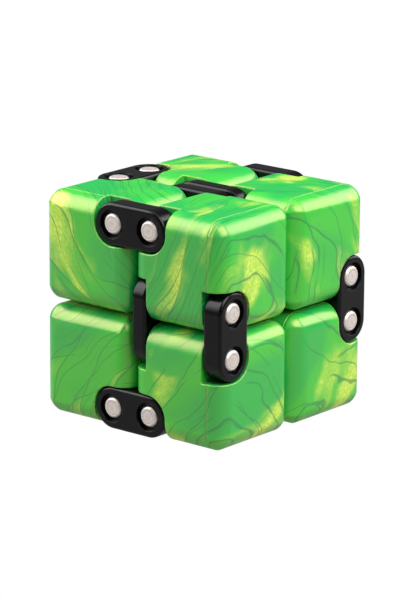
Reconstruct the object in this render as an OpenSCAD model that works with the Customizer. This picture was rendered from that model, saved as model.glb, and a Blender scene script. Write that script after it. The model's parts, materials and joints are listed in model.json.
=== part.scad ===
// Folding fidget cube: eight small hollow cubes joined into one endless loop by eight
// double-pivot straps. Each strap is an outer and an inner plate on two steel pins.
// Origin: centre of the face that the closed cube rests on. +Z up, the front looks along -Y.

/* [Cube] */
// Width of the closed cube
cube_w = 40; // [36:0.5:60]
// Gap between neighbouring small cubes when the cube is closed
cube_gap = 0.5; // [0.4:0.05:0.8]
// Radius of the small cubes' edges, apart from the edges that swing past a neighbour
edge_r = 3.4; // [2:0.1:3.8]

/* [Shells and covers] */
// Wall thickness of the shells and covers
wall = 1.6; // [1.2:0.1:2]
// Depth of the slice of each small cube that its cover takes
cover_depth = 3; // [2.6:0.1:3.6]
// How far the cover's lip reaches into the shell
lip_depth = 1.6; // [1:0.1:2.4]
// Thickness of the cover's lip
lip_t = 1; // [0.8:0.1:1.4]
// Gap between the lip and the shell's wall
lip_play = 0.1; // [0.05:0.05:0.2]
// Width and depth of the fine groove where cover and shell meet
seam = 0.1; // [0.1:0.05:0.25]

/* [Pivots] */
// Distance from a pivot's axis to both faces at its hinge edge
pin_inset = 3.8; // [3.4:0.1:4.6]
// Diameter of the steel pins
pin_d = 3.6; // [3:0.1:4]
// Radial running clearance between a pin and its bore
pin_play = 0.05; // [0.03:0.01:0.09]
// Bevel at the ends of a pin
pin_bevel = 0.3; // [0.1:0.05:0.4]
// Wall of the tube around a bore inside the shell
boss_wall = 1.6; // [1.2:0.1:2]
// How far the exposed end of a pin lies below its plate's face
pin_sink = 0.1; // [0.1:0.05:0.5]
// Thickness of plate left under the hidden end of a pin
pin_floor = 0.7; // [0.5:0.1:1]

/* [Straps] */
// Thickness of the outer plates
outer_t = 3.8; // [3.4:0.1:4.6]
// Thickness of the inner plates
inner_t = 3; // [2.4:0.1:3.6]
// How far the outer plates and the long edges of all plates lie below the faces
outer_sink = 0.1; // [0.05:0.05:0.3]
// How far the inner plates lie below the faces
inner_sink = 0.2; // [0.1:0.05:0.4]
// Edge radius of the plates
plate_edge_r = 0.55; // [0.3:0.05:0.8]
// Diameter of the round recess around an exposed pin end
recess_d = 5; // [4.4:0.1:5.4]
// Depth of the round recess
recess_depth = 0.9; // [0.6:0.1:1.4]
// Clearance around a strap in its notch
notch_play = 0.2; // [0.15:0.05:0.5]
// Clearance between a plate and the floor of its notch
floor_play = 0.3; // [0.2:0.05:0.5]

/* [Open pivot] */
// Extra room on each side of the slot that lets one pin leave its cube
slot_play = 0.12; // [0.08:0.02:0.2]

/* [Hidden] */
$fn = 64;
half = cube_w / 2;
inner_face = cube_gap / 2;
near = inner_face + pin_inset;
far = half - pin_inset;
plate_r = pin_inset - outer_sink;
notch_r = plate_r + notch_play;
bore_r = pin_d / 2 + pin_play;
boss_r = bore_r + boss_wall;
inner_lo = inner_face + inner_sink;
inner_hi = inner_lo + inner_t;
inner_floor = inner_hi + floor_play;
outer_hi = half - outer_sink;
outer_lo = outer_hi - outer_t;
outer_floor = outer_lo - floor_play;
pin_lo = inner_lo + pin_floor;
pin_hi = outer_hi - pin_sink;
cover_lo = half - cover_depth;
// Reach of a cutting shape past the surface that it opens
past = 1;
// Smallest corner radius inside the hollow
min_r = 0.3;
// The freed pin moves this far towards the mating face for each unit outwards
slot_climb = 5;
slot_lean = atan(1 / slot_climb);
// The balls that blunt the corners are a little larger than the edge radius
ball_r = edge_r * 1.03;
ball_start = edge_r * 0.1;
SHELL_COLOUR = "limegreen";
STRAP_COLOUR = [0.1, 0.1, 0.11];
PIN_COLOUR = [0.78, 0.76, 0.74];

// Small cubes: name, side of the centre on each axis, and 1 where the hinge layout is turned
CUBES = [
    ["top_left_front", [-1, -1, 1], 0],
    ["top_left_back", [-1, 1, 1], 0],
    ["top_right_front", [1, -1, 1], 1],
    ["top_right_back", [1, 1, 1], 1],
    ["bottom_right_front", [1, -1, -1], 1],
    ["bottom_right_back", [1, 1, -1], 1],
    ["bottom_left_front", [-1, -1, -1], 0],
    ["bottom_left_back", [-1, 1, -1], 0]
];
// Straps: name, the number of the small cube at the first pin, that cube's hinge, and the
// names of the first and second pin
STRAPS = [
    ["top_front", 0, 0, ["left", "right"]],
    ["top_back", 1, 0, ["left", "right"]],
    ["bottom_front", 6, 0, ["left", "right"]],
    ["bottom_back", 7, 0, ["left", "right"]],
    ["right_front", 4, 0, ["lower", "upper"]],
    ["right_back", 5, 0, ["lower", "upper"]],
    ["left_top", 0, 1, ["front", "back"]],
    ["left_bottom", 6, 1, ["front", "back"]]
];
// The turned layout swaps the hinges of a small cube: its first hinge joins the row above
// or below it, and its second joins its neighbour on the left.
OPEN_CUBE = "bottom_right_back";
OPEN_HINGE = 0;

// Outline of a square from lo to hi with its own radius at each corner:
// [at lo lo, at hi lo, at hi hi, at lo hi]
module rounded_square(lo, hi, r) {
    polygon([
        [lo + r[0], lo], [hi - r[1], lo], [hi, lo + r[1]], [hi, hi - r[2]],
        [hi - r[2], hi], [lo + r[3], hi], [lo, hi - r[3]], [lo, lo + r[0]]
    ]);
    translate([lo + r[0], lo + r[0]]) circle(r[0]);
    translate([hi - r[1], lo + r[1]]) circle(r[1]);
    translate([hi - r[2], hi - r[2]]) circle(r[2]);
    translate([lo + r[3], hi - r[3]]) circle(r[3]);
}

// Lays a shape drawn around a hinge (x = away from the mating face, y = outwards,
// z = along the pin) onto hinge 0 or hinge 1 of a small cube
module at_hinge(hinge) {
    mirror(hinge == 0 ? [0, 1, -1] : [1, -1, 0]) children();
}

// Turns a small cube's hinge layout and puts it in its own corner of the closed cube
module in_corner(cube) {
    side = cube[1];
    translate([0, 0, half])
        mirror([side[0] < 0 ? 1 : 0, 0, 0])
            mirror([0, side[1] < 0 ? 1 : 0, 0])
                mirror([0, 0, side[2] < 0 ? 1 : 0])
                    rotate(cube[2] * [0, -90, -90])
                        children();
}

function edge_radius(depth) = max(edge_r - depth, min_r);

// Rounded block, its outside at depth 0. Three edges are rounded about a pivot's axis: the two
// hinge edges, and the one that swings past a neighbour without a strap. Edges around the cover
// have at most the radius cover_r.
module block(depth, cover_r) {
    lo = inner_face + depth;
    hi = half - depth;
    size = hi - lo;
    r = edge_radius(depth);
    knuckle = pin_inset - depth;
    rim = min(r, cover_r);
    swing = min(knuckle, cover_r);
    intersection() {
        translate([0, hi, 0])
            rotate([90, 0, 0])
                linear_extrude(size) rounded_square(lo, hi, [r, r, r, knuckle]);
        translate([0, 0, lo])
            linear_extrude(size) rounded_square(lo, hi, [r, knuckle, rim, rim]);
        translate([lo, 0, 0])
            rotate([90, 0, 90])
                linear_extrude(size) rounded_square(lo, hi, [r, swing, rim, r]);
    }
}

// What is cut from one corner to blunt it: p is the ball's centre, d the corner's direction
module ball_cut(p, d) {
    difference() {
        translate(p)
            mirror([d[0] < 0 ? 1 : 0, 0, 0])
                mirror([0, d[1] < 0 ? 1 : 0, 0])
                    mirror([0, 0, d[2] < 0 ? 1 : 0])
                        translate(ball_start * [1, 1, 1]) cube(edge_r + past);
        translate(p) sphere(ball_r);
    }
}

// The notches take the other four corners away
module blunt_block() {
    lo = inner_face + edge_r;
    hi = half - edge_r;
    difference() {
        block(0, half);
        ball_cut([hi, hi, hi], [1, 1, 1]);
        ball_cut([hi, hi, lo], [1, 1, -1]);
        ball_cut([lo, hi, lo], [-1, 1, -1]);
        ball_cut([lo, lo, lo], [-1, -1, -1]);
    }
}

// Outline of a notch around a hinge, open to the mating face and outwards
module notch_outline(r) {
    translate([near, far]) circle(r);
    translate([inner_face - past, far - r]) square([near - inner_face + past, pin_inset + r + past]);
    translate([near - past, far]) square([r + past, pin_inset + past]);
}

// The inner and outer notch of one hinge, grown by a wall where a wall has to stay
module notches(grow) {
    translate([0, 0, inner_face - past])
        linear_extrude(inner_floor + grow - inner_face + past) notch_outline(notch_r + grow);
    translate([0, 0, outer_floor - grow])
        linear_extrude(half - outer_floor + grow + past) notch_outline(notch_r + grow);
}

// The hollow inside a small cube, which leaves the notch walls and the bore tubes standing.
// Its walls stay straight where the cover's lip slides in.
module cavity() {
    difference() {
        block(wall, cover_depth - wall);
        for (hinge = [0, 1])
            at_hinge(hinge) {
                notches(wall);
                translate([near, far, inner_floor]) cylinder(r = boss_r, h = outer_floor - inner_floor);
            }
    }
}

// Slot along a bore, open to the mating face, that frees the pin of the open pivot
module pin_slot() {
    w = bore_r + slot_play;
    reach = pin_inset + w + past;
    translate([near, far, inner_floor - past])
        rotate([0, 0, -slot_lean])
            translate([-reach, -w, 0]) cube([reach, 2 * w, outer_floor - inner_floor + 2 * past]);
}

// Shell and cover of a small cube in one, before they are parted
module closed_cube(cube) {
    difference() {
        blunt_block();
        cavity();
        for (hinge = [0, 1])
            at_hinge(hinge) {
                notches(0);
                translate([near, far, 0]) cylinder(r = bore_r, h = half);
            }
        if (cube[0] == OPEN_CUBE)
            at_hinge(OPEN_HINGE) pin_slot();
    }
}

// Slice of space across a small cube, from one depth along its second axis to another
module slice(from, to) {
    translate([-past, from, -past]) cube([half + 2 * past, to - from, half + 2 * past]);
}

// Section of the shell's mouth, d inside its outer surface
module mouth(d) {
    lo = inner_face + d;
    hi = half - d;
    r = edge_radius(d);
    difference() {
        rounded_square(lo, hi, [r, r, r, r]);
        notch_outline(notch_r + d);
    }
}

module shell(cube) {
    color(SHELL_COLOUR)
        in_corner(cube)
            intersection() {
                closed_cube(cube);
                slice(-past, cover_lo);
            }
}

// Ring between two depths below the outer surface and two places along the cover's axis
module ring(outside, inside, from, to) {
    translate([0, to, 0])
        rotate([90, 0, 0])
            linear_extrude(to - from)
                difference() {
                    mouth(outside);
                    mouth(inside);
                }
}

// Lip that guides the cover into the mouth of the shell, and its root inside the cover
module lip() {
    inside = wall + lip_play + lip_t;
    ring(wall + lip_play, inside, cover_lo - lip_depth, cover_lo + seam);
    intersection() {
        ring(wall / 2, inside, cover_lo + seam, half - wall / 2);
        block(wall / 4, half);
    }
}

// Groove around the cover's edge where it meets the shell
module seam_groove() {
    r = edge_r - seam;
    difference() {
        slice(cover_lo - past, cover_lo + seam);
        translate([0, half, 0])
            rotate([90, 0, 0])
                linear_extrude(half)
                    rounded_square(inner_face + seam, half - seam, [r, r, r, r]);
    }
}

module cover(cube) {
    color(SHELL_COLOUR)
        in_corner(cube) {
            difference() {
                intersection() {
                    closed_cube(cube);
                    slice(cover_lo, half + past);
                }
                seam_groove();
            }
            lip();
        }
}

// Half section of a plate with both edges rounded
module plate_section(lo, hi) {
    r = plate_edge_r;
    polygon([
        [0, lo], [plate_r - r, lo], [plate_r, lo + r],
        [plate_r, hi - r], [plate_r - r, hi], [0, hi]
    ]);
    translate([plate_r - r, lo + r]) circle(r);
    translate([plate_r - r, hi - r]) circle(r);
}

// Plate with round ends about both pins, between two heights along them
module plate(lo, hi) {
    for (side = [-1, 1])
        translate([side * near, far, 0]) rotate_extrude() plate_section(lo, hi);
    translate([-near, far, 0])
        rotate([90, 0, 90])
            linear_extrude(2 * near) {
                plate_section(lo, hi);
                mirror([1, 0]) plate_section(lo, hi);
            }
}

module on_strap(strap) {
    in_corner(CUBES[strap[1]]) at_hinge(strap[2]) children();
}

module outer_plate(strap) {
    color(STRAP_COLOUR)
        on_strap(strap)
            difference() {
                plate(outer_lo, outer_hi);
                for (side = [-1, 1])
                    translate([side * near, far, 0]) {
                        cylinder(d = pin_d, h = half);
                        translate([0, 0, outer_hi - recess_depth])
                            cylinder(d = recess_d, h = recess_depth + past);
                    }
            }
}

module inner_plate(strap) {
    color(STRAP_COLOUR)
        on_strap(strap)
            difference() {
                plate(inner_lo, inner_hi);
                for (side = [-1, 1])
                    translate([side * near, far, pin_lo]) cylinder(d = pin_d, h = half);
            }
}

// Pin with bevelled ends: side 1 is in the strap's first small cube, -1 in its second
module pin(strap, side) {
    r = pin_d / 2;
    color(PIN_COLOUR)
        on_strap(strap)
            translate([side * near, far, 0]) {
                translate([0, 0, pin_lo]) cylinder(r1 = r - pin_bevel, r2 = r, h = pin_bevel);
                translate([0, 0, pin_lo + pin_bevel]) cylinder(r = r, h = pin_hi - pin_lo - 2 * pin_bevel);
                translate([0, 0, pin_hi - pin_bevel]) cylinder(r1 = r, r2 = r - pin_bevel, h = pin_bevel);
            }
}

for (c = CUBES) {
    shell(c);
    cover(c);
}
for (s = STRAPS) {
    outer_plate(s);
    inner_plate(s);
    pin(s, 1);
    pin(s, -1);
}
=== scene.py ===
"""Looks of the folding fidget cube: pearly green marbled cubes, satin black straps, steel pins."""

import json
import math
import random

import bpy
from mathutils import Euler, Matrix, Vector


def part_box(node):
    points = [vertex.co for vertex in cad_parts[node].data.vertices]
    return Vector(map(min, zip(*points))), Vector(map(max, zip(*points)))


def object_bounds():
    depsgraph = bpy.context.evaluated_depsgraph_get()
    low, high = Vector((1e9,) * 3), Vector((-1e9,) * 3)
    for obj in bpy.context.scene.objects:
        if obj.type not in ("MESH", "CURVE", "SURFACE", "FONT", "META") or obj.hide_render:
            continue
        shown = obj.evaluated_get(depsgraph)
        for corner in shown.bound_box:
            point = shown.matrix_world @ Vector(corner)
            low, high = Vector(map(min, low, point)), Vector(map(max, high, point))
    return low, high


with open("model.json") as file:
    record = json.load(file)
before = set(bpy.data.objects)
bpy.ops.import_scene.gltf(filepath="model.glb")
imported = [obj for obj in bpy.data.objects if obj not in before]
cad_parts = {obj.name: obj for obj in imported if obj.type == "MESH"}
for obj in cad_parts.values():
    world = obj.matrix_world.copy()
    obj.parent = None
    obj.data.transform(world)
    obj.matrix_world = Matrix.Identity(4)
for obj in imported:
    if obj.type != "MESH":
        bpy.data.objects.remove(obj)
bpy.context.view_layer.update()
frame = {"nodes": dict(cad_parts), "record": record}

SEED = 11
MM = 0.001
NODES = frame["nodes"]
BODIES = frame["record"]["behaviour"]["bodies"]
LOW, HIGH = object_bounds()
CENTRE = (LOW + HIGH) / 2
WIDTH = HIGH.x - LOW.x

# Camera: where it stands round the cube, in degrees and cube widths, and how it frames it
VIEW_AZIMUTH = 39.68
VIEW_ELEVATION = 15.22
VIEW_ROLL = 0.34
VIEW_DISTANCE = 14.75 * WIDTH
LENS = 203.7
FRAME_SHIFT = (-0.0069, -0.0046)

# Room left under the cube, so that the pair that folds underneath stays above the floor
FLOOR_DROP = 0.53 * WIDTH
FLOOR_SIZE = 100 * WIDTH

# Studio: brightness is relative to the white background, sizes and distances are in cube widths
ROOM_LIGHT = 0.15
PAPER = 0.32
# name, azimuth, elevation, distance, size, brightness
SOFTBOXES = [
    ("overhead", 0, 88, 8, 8, 1.2),
    ("left", -62, 32, 9, 8, 5.4),
    ("right", 80, 48, 9, 7, 6.5),
    ("right_back", 152, 27, 9, 6, 5.0),
]

# Rounds on the cut edges of the green cubes and of the straps and pins
CUBE_ROUND = 0.22 * MM
STRAP_ROUND = 0.08 * MM
# Reach of the rounding that the green's shading adds to the cut edges, which also sets the width of
# the painted highlight along them
SHADED_ROUND = 0.42 * MM
# Points closer than this are one point, facets turned by less than this are one face, and only
# edges sharper than this are rounded, both in degrees
SAME_POINT = 0.002 * MM
SAME_FACE = 0.4
SHARP_EDGE = 35

# Colours, as 0-255 screen values
LEAF = (46, 184, 62)
EMERALD = (8, 170, 74)
OLD_GOLD = (178, 216, 66)
PALE_GOLD = (222, 246, 112)
VEIN_TEAL = (0, 116, 74)
# Cream of the painted highlight along the green cubes' cut edges
PAINTED_RIM_HIGHLIGHT = (228, 244, 132)
BLACK = (1, 1, 3)
RUBBED_BLACK = (6, 7, 9)
STEEL = (208, 194, 186)
BRIGHT_STEEL = (244, 234, 228)
DULL_STEEL = (190, 174, 164)
# Grey of the painted shade in the pin ends' groove
GROOVE_SHADE_GREY = (140, 128, 120)

# How much shorter the marbling's noise and the gold patches are made along the grain before they
# are looked up, which draws them out
GRAIN_STRETCH = 0.25
PATCH_STRETCH = 0.5
# Gap and lean of the slanted family of veins, where tones and gold also change
VEIN_GAP = 7.0
VEIN_LEAN = 0.35
# Families of veins, the last being fine ripples. Each has its lean (how far it drifts sideways for
# each millimetre along the grain), its gap and line width in millimetres, the scale of the patches
# that it shows in, and the noise level above which it shows.
VEINS = [
    (0.0, 4.2, 0.2, 0.08, 0.38),
    (VEIN_LEAN, VEIN_GAP, 0.24, 0.07, 0.38),
    (-0.6, 9.0, 0.2, 0.06, 0.44),
    (0.0, 1.5, 0.16, 0.065, 0.52),
]

# Each small cube's marbling: the direction in which it is drawn out, and the centre and radius of
# its gold patches in millimetres
MARBLING = {
    "cube_top_left_front": ((1.0, 0.3, -1.2), [((-11, -20, 25), 5), ((-15, -20, 35), 4)]),
    "cube_top_left_back": ((0.6, 1.0, -0.3), [((-20, 12, 28), 5), ((-8, 20, 34), 4)]),
    "cube_top_right_front": (
        (0.5, 0.5, 1.0), [((12, -20, 28), 5), ((20, -14, 35), 6.5), ((20, -9, 28), 5)]
    ),
    "cube_top_right_back": (
        (0.3, 0.5, -1.0), [((6, 13, 40), 5), ((20, 3.5, 28), 3.5), ((10, 20, 26), 5)]
    ),
    "cube_bottom_right_front": ((0.6, 1.0, 0.3), [((8, -20, 19), 4.5), ((12, -12, 0), 5)]),
    "cube_bottom_right_back": ((0.3, 0.6, 1.0), [((20, 14, 6), 7), ((8, 20, 12), 5)]),
    "cube_bottom_left_front": ((1.0, 0.3, 1.0), [((-15, -20, 18), 4), ((-20, -12, 8), 5)]),
    "cube_bottom_left_back": ((-0.4, 1.0, 0.7), [((-20, 8, 12), 5), ((-12, 20, 5), 5)]),
}


# ---------------------------------------------------------------- node helpers


class Graph:
    """A material's node tree, with short calls for the nodes that the finishes use."""

    def __init__(self, name):
        self.material = bpy.data.materials.new(name)
        self.material.use_nodes = True
        self.tree = self.material.node_tree
        self.tree.nodes.clear()
        self.output = self.add("ShaderNodeOutputMaterial")

    def add(self, kind, **settings):
        """New node of a kind, with its settings."""
        node = self.tree.nodes.new(kind)
        for key, value in settings.items():
            setattr(node, key, value)
        return node

    def put(self, socket, value):
        """Links a socket to another, or sets its value."""
        if isinstance(value, bpy.types.NodeSocket):
            self.tree.links.new(value, socket)
        else:
            socket.default_value = value

    def math(self, operation, a, b=0.0):
        node = self.add("ShaderNodeMath", operation=operation)
        self.put(node.inputs[0], a)
        self.put(node.inputs[1], b)
        return node.outputs[0]

    def vector(self, operation, a, b=(0, 0, 0), scale=None):
        node = self.add("ShaderNodeVectorMath", operation=operation)
        self.put(node.inputs[0], a)
        if operation == "SCALE":
            self.put(node.inputs["Scale"], scale)
        else:
            self.put(node.inputs[1], b)
        return node.outputs[0]

    def noise(self, point, scale, detail=2.0, roughness=0.5, colour=False):
        node = self.add("ShaderNodeTexNoise")
        self.put(node.inputs["Vector"], point)
        self.put(node.inputs["Scale"], scale)
        self.put(node.inputs["Detail"], detail)
        self.put(node.inputs["Roughness"], roughness)
        return node.outputs["Color" if colour else "Fac"]

    def parts(self, point):
        """The x, y and z of point."""
        node = self.add("ShaderNodeSeparateXYZ")
        self.put(node.inputs[0], point)
        return node.outputs

    def stripes(self, distance, spacing, width):
        """Soft lines, one for each spacing that distance grows by, each about width wide."""
        phase = self.math("FRACT", self.math("DIVIDE", distance, spacing))
        off = self.math("ABSOLUTE", self.math("SUBTRACT", phase, 0.5))
        return self.step(off, 0.2 * width / spacing, 0.8 * width / spacing, flip=True)

    def step(self, value, low, high, flip=False):
        """Smooth 0 to 1 as value goes from low to high, or 1 to 0 with flip."""
        node = self.add("ShaderNodeMapRange", interpolation_type="SMOOTHSTEP")
        self.put(node.inputs["Value"], value)
        node.inputs["From Min"].default_value = low
        node.inputs["From Max"].default_value = high
        node.inputs["To Min"].default_value = 1.0 if flip else 0.0
        node.inputs["To Max"].default_value = 0.0 if flip else 1.0
        return node.outputs["Result"]

    def times(self, value, share):
        return self.math("MULTIPLY", value, share)

    def mix(self, factor, a, b):
        """Colour a where factor is 0, and b where it is 1."""
        node = self.add("ShaderNodeMix", data_type="RGBA")
        self.put(node.inputs["Factor"], factor)
        self.put(node.inputs[6], a)
        self.put(node.inputs[7], b)
        return node.outputs[2]

    def placed(self, turn=(0, 0, 0), shift=(0, 0, 0)):
        """Object coordinates in millimetres, turned and shifted."""
        coords = self.add("ShaderNodeTexCoord").outputs["Object"]
        node = self.add("ShaderNodeMapping")
        self.put(node.inputs["Vector"], coords)
        node.inputs["Location"].default_value = shift
        node.inputs["Rotation"].default_value = turn
        node.inputs["Scale"].default_value = (1 / MM,) * 3
        return node.outputs["Vector"]

    def squeezed(self, point, share):
        """point with its z made smaller."""
        return self.vector("MULTIPLY", point, (1.0, 1.0, share))

    def warped(self, point, scale, amount, detail=1.0):
        """point pushed about by up to half of amount, in millimetres."""
        push = self.vector("SUBTRACT", self.noise(point, scale, detail, colour=True), (0.5, 0.5, 0.5))
        return self.vector("ADD", point, self.vector("SCALE", push, scale=amount))

    def measure(self, operation, a, b):
        """Number worked out from two vectors."""
        node = self.add("ShaderNodeVectorMath", operation=operation)
        self.put(node.inputs[0], a)
        self.put(node.inputs[1], b)
        return node.outputs["Value"]

    def apart(self, point, centre):
        """Distance of point from centre."""
        return self.measure("DISTANCE", point, centre)

    def bump(self, height, depth, normal=None):
        """Relief of a depth in metres, on top of another normal if there is one."""
        node = self.add("ShaderNodeBump")
        node.inputs["Strength"].default_value = 1.0
        node.inputs["Distance"].default_value = depth
        self.put(node.inputs["Height"], height)
        if normal is not None:
            self.put(node.inputs["Normal"], normal)
        return node.outputs["Normal"]

    def shader(self, **inputs):
        """The finished surface; an input's name has _ in place of each space."""
        node = self.add("ShaderNodeBsdfPrincipled")
        for key, value in inputs.items():
            self.put(node.inputs[key.replace("_", " ")], value)
        self.put(self.output.inputs["Surface"], node.outputs[0])


def rgba(red, green, blue):
    """Linear colour from 0-255 screen values."""
    def linear(v):
        v /= 255
        return v / 12.92 if v <= 0.04045 else ((v + 0.055) / 1.055) ** 2.4
    return (linear(red), linear(green), linear(blue), 1.0)


# ---------------------------------------------------------------- finishes


def veins(g, p, flow):
    """The lines of every family, each family in its own patches."""
    side, _, length = g.parts(flow)
    lines = 0.0
    for lean, gap, width, spread, low in VEINS:
        where = g.math("ADD", side, g.times(length, lean))
        there = g.step(g.noise(g.vector("ADD", p, (gap, gap, 0)), spread, 1.0), low, low + 0.08)
        lines = g.math("MAXIMUM", lines, g.times(g.stripes(where, gap, width), there))
    return lines


def vein_ramp(g, flow):
    """Grows from one slanted vein to the next, from -0.5 to 0.5, and drops there."""
    side, _, length = g.parts(flow)
    slanted = g.math("ADD", side, g.times(length, VEIN_LEAN))
    phase = g.math("FRACT", g.math("ADD", g.math("DIVIDE", slanted, VEIN_GAP), 0.5))
    return g.math("SUBTRACT", phase, 0.5)


def gold_cover(g, streaky, turn, ramp, patches):
    """How much gold shows, from 0 to 1: streaks along the grain, and the cube's own patches."""
    gold = g.noise(g.vector("ADD", streaky, (50, 0, 0)), 0.12, 2.0, 0.55)
    gold = g.math("ADD", gold, g.times(ramp, 0.12))
    loose = g.squeezed(g.warped(g.placed(turn), 0.16, 8), PATCH_STRETCH)
    for centre, radius in patches:
        turned = turn.to_matrix() @ Vector(centre)
        turned.z *= PATCH_STRETCH
        near = g.step(g.apart(loose, turned), 0.2 * radius, 1.3 * radius, flip=True)
        gold = g.math("ADD", gold, g.times(near, 0.18))
    return g.step(gold, 0.57, 0.8)


def marbled_green(name, rng, grain, patches):
    """Pearly green, marbled along the grain: tone bands, gold streaks, long veins and ripples."""
    g = Graph(name)
    turn = Vector(grain).normalized().rotation_difference(Vector((0, 0, 1))).to_euler()
    shift = [rng.uniform(-200, 200) for _ in range(3)]
    p = g.placed(turn, shift)
    flow = g.warped(g.warped(p, 0.04, 15), 0.17, 1.8)
    streaky = g.squeezed(flow, GRAIN_STRETCH)

    # The ramp sets tones and gold apart at the slanted veins
    ramp = vein_ramp(g, flow)
    field = g.math("ADD", g.noise(streaky, 0.1, 1.0, 0.4), g.times(ramp, 0.1))
    base = g.mix(g.step(field, 0.4, 0.58), rgba(*LEAF), rgba(*EMERALD))
    gold = gold_cover(g, streaky, turn, ramp, patches)
    speckle = g.noise(g.squeezed(p, 0.5), 2.6, 3.0, 0.65)
    flakes = g.mix(g.step(speckle, 0.35, 0.65), rgba(*OLD_GOLD), rgba(*PALE_GOLD))
    base = g.mix(g.times(gold, 0.85), base, flakes)
    base = g.mix(g.times(veins(g, p, flow), 0.65), base, rgba(*VEIN_TEAL))

    # Cut edges are rounded in the shading too, and a painted highlight makes them paler, cream
    rounded = g.add("ShaderNodeBevel", samples=6)
    rounded.inputs["Radius"].default_value = SHADED_ROUND
    plain = g.add("ShaderNodeNewGeometry").outputs["Normal"]
    painted_rim_highlight = g.step(g.measure("DOT_PRODUCT", rounded.outputs[0], plain), 0.76, 0.92, flip=True)
    base = g.mix(g.times(painted_rim_highlight, 0.65), base, rgba(*PAINTED_RIM_HIGHLIGHT))

    rough = g.math("ADD", g.times(speckle, 0.14), 0.24)
    grain_relief = g.bump(speckle, 0.02 * MM, rounded.outputs[0])
    orange_peel = g.bump(g.noise(p, 0.9, 2.0), 0.02 * MM, grain_relief)
    g.shader(
        Base_Color=base, Roughness=rough, Metallic=g.times(gold, 0.12), Normal=orange_peel,
        IOR=1.8, Specular_IOR_Level=0.68, Specular_Tint=(1.0, 0.68, 0.32, 1.0),
    )
    return g.material


def satin_black():
    """Moulded black plastic with a fine skin and faint rub marks."""
    g = Graph("satin_black")
    p = g.placed()
    rub = g.step(g.noise(p, 0.6, 4.0, 0.6), 0.55, 0.8)
    colour = g.mix(rub, rgba(*BLACK), rgba(*RUBBED_BLACK))
    skin = g.noise(p, 9.0, 2.0)
    rough = g.math("ADD", g.times(g.noise(p, 1.6, 3.0), 0.08), 0.2)
    g.shader(
        Base_Color=colour, Roughness=rough, Normal=g.bump(skin, 0.0012 * MM),
        Specular_IOR_Level=0.25,
    )
    return g.material


def turned_steel(axis):
    """Pin ends with the fine rings and the shallow groove that a lathe leaves, round the pin's own
    axis, 0 to 2. The groove's ring is darkened with painted shade."""
    g = Graph("turned_steel_" + "xyz"[axis])
    p = g.placed()
    across = tuple(0.0 if i == axis else 2.0 for i in range(3))
    middle = g.vector("SUBTRACT", g.add("ShaderNodeTexCoord").outputs["Generated"], (0.5, 0.5, 0.5))
    # 0 on the pin's axis, 1 at its rim
    radial = g.apart(g.vector("MULTIPLY", middle, across), (0, 0, 0))
    rings = g.noise(g.vector("SCALE", (1, 1, 1), scale=radial), 14.0, 2.0, 0.6)
    groove = g.step(g.math("ABSOLUTE", g.math("SUBTRACT", radial, 0.62)), 0.02, 0.06, flip=True)
    mottle = g.noise(p, 1.1, 3.0)
    colour = g.mix(g.step(rings, 0.35, 0.65), rgba(*STEEL), rgba(*BRIGHT_STEEL))
    colour = g.mix(g.times(g.step(mottle, 0.45, 0.7), 0.3), colour, rgba(*DULL_STEEL))
    # Painted shade: the groove's ring is darkened towards grey
    colour = g.mix(g.times(groove, 0.35), colour, rgba(*GROOVE_SHADE_GREY))
    rough = g.math("ADD", g.times(rings, 0.15), 0.34)
    relief = g.math("SUBTRACT", g.times(rings, 0.4), groove)
    g.shader(Base_Color=colour, Metallic=0.6, Roughness=rough, Normal=g.bump(relief, 0.012 * MM))
    return g.material


# ---------------------------------------------------------------- edges


def soften_edges(obj, width):
    """Small rounds on the sharp edges that the moulds and cuts leave."""
    obj.data.shade_smooth()
    weld = obj.modifiers.new("weld", "WELD")
    weld.merge_threshold = SAME_POINT
    flat = obj.modifiers.new("merge_flat", "DECIMATE")
    flat.decimate_type = "DISSOLVE"
    flat.angle_limit = math.radians(SAME_FACE)
    bevel = obj.modifiers.new("bevel", "BEVEL")
    bevel.width = width
    bevel.segments = 3
    bevel.limit_method = "ANGLE"
    bevel.angle_limit = math.radians(SHARP_EDGE)
    bevel.miter_outer = "MITER_ARC"
    bevel.use_clamp_overlap = True
    normals = obj.modifiers.new("normals", "WEIGHTED_NORMAL")
    normals.keep_sharp = True


def long_axis(name):
    """The axis along which a node is longest: a pin's own axis."""
    low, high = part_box(name)
    size = [b - a for a, b in zip(low, high)]
    return size.index(max(size))


def finish_nodes():
    """Gives each CAD node its material and its edges; a small cube's shell and cover share one."""
    rng = random.Random(SEED)
    black = satin_black()
    steel = [turned_steel(axis) for axis in range(3)]
    for body, members in BODIES.items():
        green = marbled_green(body + "_green", rng, *MARBLING[body]) if body in MARBLING else None
        for name in members:
            obj = NODES[name]
            material = green or (steel[long_axis(name)] if name.startswith("pin_") else black)
            obj.data.materials.clear()
            obj.data.materials.append(material)
            soften_edges(obj, CUBE_ROUND if green else STRAP_ROUND)


# ---------------------------------------------------------------- studio


def aimed(obj, target, roll=0.0):
    """Turns a camera or light to look at target, rolled by some degrees."""
    direction = target - obj.location
    obj.rotation_mode = "QUATERNION"
    turn = Euler((0, 0, math.radians(roll))).to_quaternion()
    obj.rotation_quaternion = direction.to_track_quat("-Z", "Y") @ turn


def around(azimuth, elevation, distance):
    """Place at an azimuth (0 in front, 90 on the right) and elevation about the cube."""
    a, e = math.radians(azimuth), math.radians(elevation)
    away = Vector((math.sin(a) * math.cos(e), -math.cos(a) * math.cos(e), math.sin(e)))
    return CENTRE + distance * away


def make_camera():
    data = bpy.data.cameras.new("camera")
    data.lens = LENS
    data.shift_x, data.shift_y = FRAME_SHIFT
    data.clip_start = 0.1 * WIDTH
    data.clip_end = 10 * FLOOR_SIZE
    camera = bpy.data.objects.new("camera", data)
    bpy.context.scene.collection.objects.link(camera)
    camera.location = around(VIEW_AZIMUTH, VIEW_ELEVATION, VIEW_DISTANCE)
    aimed(camera, CENTRE, VIEW_ROLL)
    bpy.context.scene.camera = camera


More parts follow.
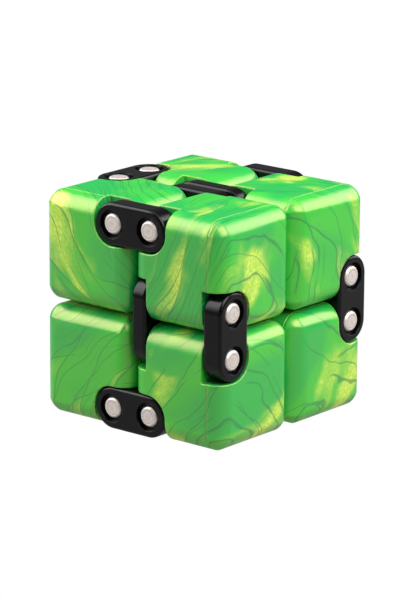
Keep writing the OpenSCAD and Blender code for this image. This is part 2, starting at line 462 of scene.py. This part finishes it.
def softbox(name, azimuth, elevation, distance, size, radiance):
    """Square panel of an even brightness, where 1 is the white of the background."""
    data = bpy.data.lights.new(name, "AREA")
    data.shape = "SQUARE"
    data.size = size * WIDTH
    data.energy = radiance * math.pi * data.size ** 2
    light = bpy.data.objects.new(name, data)
    bpy.context.scene.collection.objects.link(light)
    light.location = around(azimuth, elevation, distance * WIDTH)
    aimed(light, CENTRE)


def make_floor():
    """Plain floor: white to the camera, and grey paper to the light that it bounces."""
    x, y, z = CENTRE.x, CENTRE.y, LOW.z - FLOOR_DROP
    s = FLOOR_SIZE / 2
    mesh = bpy.data.meshes.new("floor")
    corners = [(x - s, y - s, z), (x + s, y - s, z), (x + s, y + s, z), (x - s, y + s, z)]
    mesh.from_pydata(corners, [], [(0, 1, 2, 3)])
    floor = bpy.data.objects.new("floor", mesh)
    bpy.context.scene.collection.objects.link(floor)
    g = Graph("white_paper")
    paper = g.add("ShaderNodeBsdfDiffuse")
    paper.inputs["Color"].default_value = (PAPER, PAPER, PAPER, 1)
    lit = g.add("ShaderNodeEmission")
    lit.inputs["Strength"].default_value = 1.0
    seen = g.add("ShaderNodeLightPath").outputs["Is Camera Ray"]
    both = g.add("ShaderNodeMixShader")
    g.put(both.inputs[0], seen)
    g.put(both.inputs[1], paper.outputs[0])
    g.put(both.inputs[2], lit.outputs[0])
    g.put(g.output.inputs["Surface"], both.outputs[0])
    mesh.materials.append(g.material)


def make_world():
    """White behind the cube, and a softer grey room for it to reflect."""
    world = bpy.data.worlds.new("studio")
    bpy.context.scene.world = world
    world.use_nodes = True
    tree = world.node_tree
    background = tree.nodes["Background"]
    background.inputs["Color"].default_value = (1, 1, 1, 1)
    seen = tree.nodes.new("ShaderNodeLightPath").outputs["Is Camera Ray"]
    strength = tree.nodes.new("ShaderNodeMapRange")
    tree.links.new(seen, strength.inputs["Value"])
    strength.inputs["To Min"].default_value = ROOM_LIGHT
    strength.inputs["To Max"].default_value = 1.0
    tree.links.new(strength.outputs["Result"], background.inputs["Strength"])


def make_lights():
    for name, azimuth, elevation, distance, size, radiance in SOFTBOXES:
        softbox(name, azimuth, elevation, distance, size, radiance)


# Plain colours, with no film look over them
bpy.context.scene.view_settings.view_transform = "Standard"
make_camera()
make_world()
make_lights()
make_floor()
finish_nodes()
